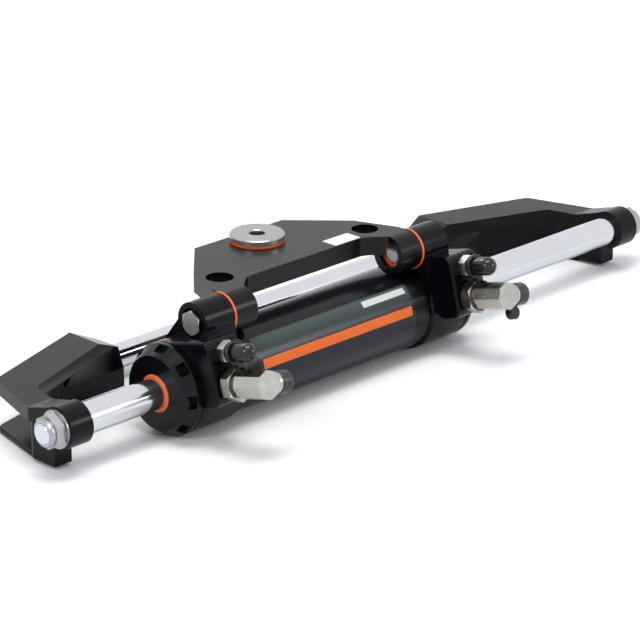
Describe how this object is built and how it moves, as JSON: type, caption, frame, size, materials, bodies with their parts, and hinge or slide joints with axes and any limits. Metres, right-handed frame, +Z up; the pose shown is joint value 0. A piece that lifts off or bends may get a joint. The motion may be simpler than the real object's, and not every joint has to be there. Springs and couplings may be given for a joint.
{
  "type": "hydraulic steering cylinder",
  "caption": "Front-mount hydraulic steering cylinder: a barrel slides on a fixed rod between cast brackets, with a hinged pivot plate for the motor's tiller.",
  "frame": {"origin": "middle of the support rod, which is the motor's tilt axis", "axes": "+X along both rods, +Y back to the motor, +Z up"},
  "size_m": [0.5258, 0.177, 0.0861],
  "materials": {
    "polished_bar": "hard chrome, ground and polished",
    "black_coat": "satin black powder coat on cast aluminium",
    "black_anodised": "smooth black anodised aluminium",
    "steel": "turned stainless steel",
    "nickel": "bright nickel plate",
    "orange_plastic": "moulded orange plastic",
    "black_rubber": "moulded black rubber",
    "black_plastic": "moulded black plastic",
    "seal_rubber": "moulded seal rubber",
    "bronze": "sintered bronze"
  },
  "bodies": {
    "mounting_frame": {"piston_rod": "polished_bar", "piston": "black_anodised", "piston_seals": "seal_rubber", "piston_clips": "steel", "rod_washers": "steel", "rod_nuts": "steel", "support_rod": "polished_bar", "support_washers": "steel", "support_nuts": "steel", "left_bracket": "black_coat", "right_bracket": "black_coat"},
    "cylinder": {"barrel": "black_anodised", "left_head": "black_coat", "right_head": "black_coat", "left_gland": "black_anodised", "right_gland": "black_anodised", "rod_guides": "bronze", "rod_seals": "seal_rubber", "rod_wipers": "orange_plastic", "pivot_bolts": "steel", "hose_rings": "seal_rubber", "lock_nuts": "nickel", "hose_fittings": "nickel", "dust_plugs": "black_plastic", "bleed_screws": "nickel", "bleed_caps": "black_rubber"},
    "plate": {"pivot_plate": "black_coat", "pivot_bushes": "orange_plastic", "thrust_washers": "orange_plastic", "tiller_bearing": "orange_plastic"},
    "bush": {"tiller_bush": "steel"}
  },
  "joints": [
    {"name": "cylinder_slide", "type": "slide", "parent": "mounting_frame", "child": "cylinder", "axis": [1, 0, 0], "range_m": [-0.0485, 0.1475]},
    {"name": "plate_hinge", "type": "hinge", "parent": "cylinder", "child": "plate", "pos_m": [-0.0495, -0.098, 0.0555], "axis": [1, 0, 0], "range_deg": [-35, 60]},
    {"name": "bush_turn", "type": "hinge", "parent": "plate", "child": "bush", "pos_m": [-0.0495, -0.0453, 0.068], "axis": [0, 0, 1], "continuous": true}
  ]
}
